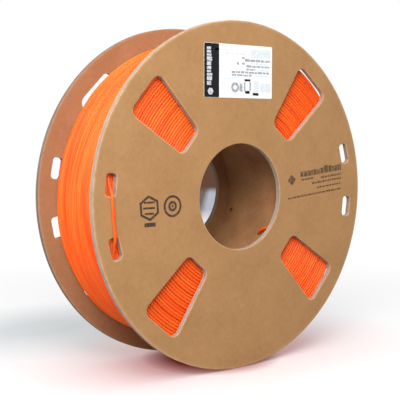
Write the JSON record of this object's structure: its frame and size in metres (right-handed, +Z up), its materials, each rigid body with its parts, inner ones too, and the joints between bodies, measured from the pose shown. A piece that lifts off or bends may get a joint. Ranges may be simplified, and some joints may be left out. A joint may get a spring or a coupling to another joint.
{
  "type": "filament spool",
  "caption": "Cardboard spool with two windowed flanges on a paper core, wound full of orange printing filament whose end is threaded through the rim slots.",
  "frame": {"origin": "on the spool's axis, midway between the two flanges", "axes": "+Y along the spool's axis from the front flange, which carries the label, to the rear flange; +Z up, with the label at the top; +X to the right as seen from the front"},
  "size_m": [0.1998, 0.062, 0.1998],
  "materials": {
    "kraft_liner": "matte",
    "grey_board": "matte",
    "core_paper": "matte",
    "glue": "satin",
    "filament": "satin",
    "label_paper": "satin",
    "print_ink": "matte"
  },
  "bodies": {
    "root": {"front_flange_outer_liner": "kraft_liner", "front_flange_board": "grey_board", "front_flange_inner_liner": "kraft_liner", "rear_flange_outer_liner": "kraft_liner", "rear_flange_board": "grey_board", "rear_flange_inner_liner": "kraft_liner", "core_ply_1": "core_paper", "core_ply_2": "core_paper", "core_ply_3": "core_paper", "core_ply_4": "core_paper", "core_ply_5": "core_paper", "front_glue_ring": "glue", "rear_glue_ring": "glue", "filament_winding": "filament", "filament_outer_end": "filament", "filament_start": "filament", "label": "label_paper"}
  },
  "joints": []
}
